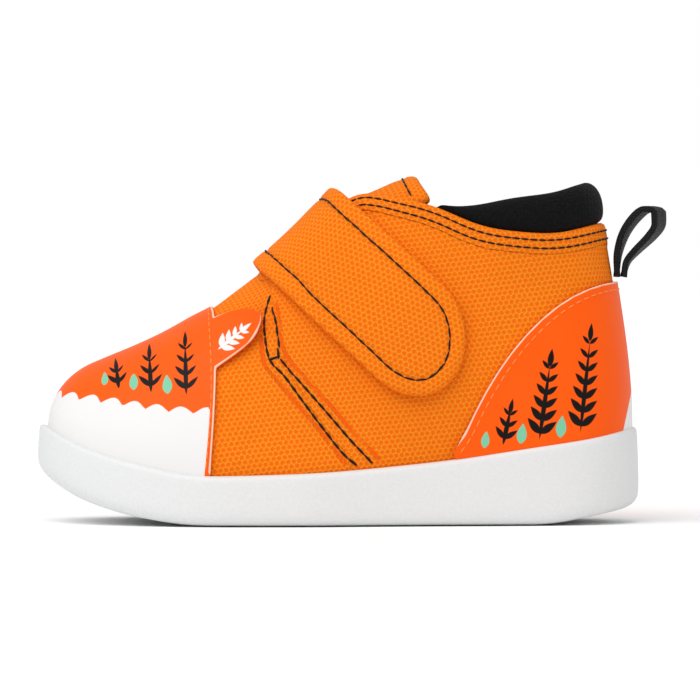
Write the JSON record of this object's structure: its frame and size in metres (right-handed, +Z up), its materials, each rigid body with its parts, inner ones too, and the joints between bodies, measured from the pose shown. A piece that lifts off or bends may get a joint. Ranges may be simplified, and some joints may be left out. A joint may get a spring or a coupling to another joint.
{
  "type": "toddler strap shoe",
  "caption": "Ankle-high toddler squeaky shoe for the left foot: hollow mesh upper on a rubber cup sole, vinyl toe cap and counter, instep strap, padded collar and pull loop.",
  "frame": {"origin": "on the floor plane, at the middle of the sole's length, on the flat of the tread", "axes": "+X toward the toe, +Y toward the outer side of the left foot, +Z up"},
  "size_m": [0.1515, 0.0616, 0.0826],
  "materials": {
    "sole_rubber": "fine matt moulded rubber, white",
    "sock_cloth": "plain dark cloth",
    "mesh_cloth": "honeycomb mesh cloth, orange",
    "knit_cloth": "padded knit, black",
    "vinyl": "smooth coated synthetic leather, orange-red with a printed design",
    "webbing": "woven tape, black"
  },
  "bodies": {
    "root": {"outsole": "sole_rubber", "insole": "sock_cloth", "upper": "mesh_cloth", "tongue": "mesh_cloth", "strap": "mesh_cloth", "collar": "knit_cloth", "toe_cap": "vinyl", "heel_counter": "vinyl", "pull_loop": "webbing"}
  },
  "joints": []
}
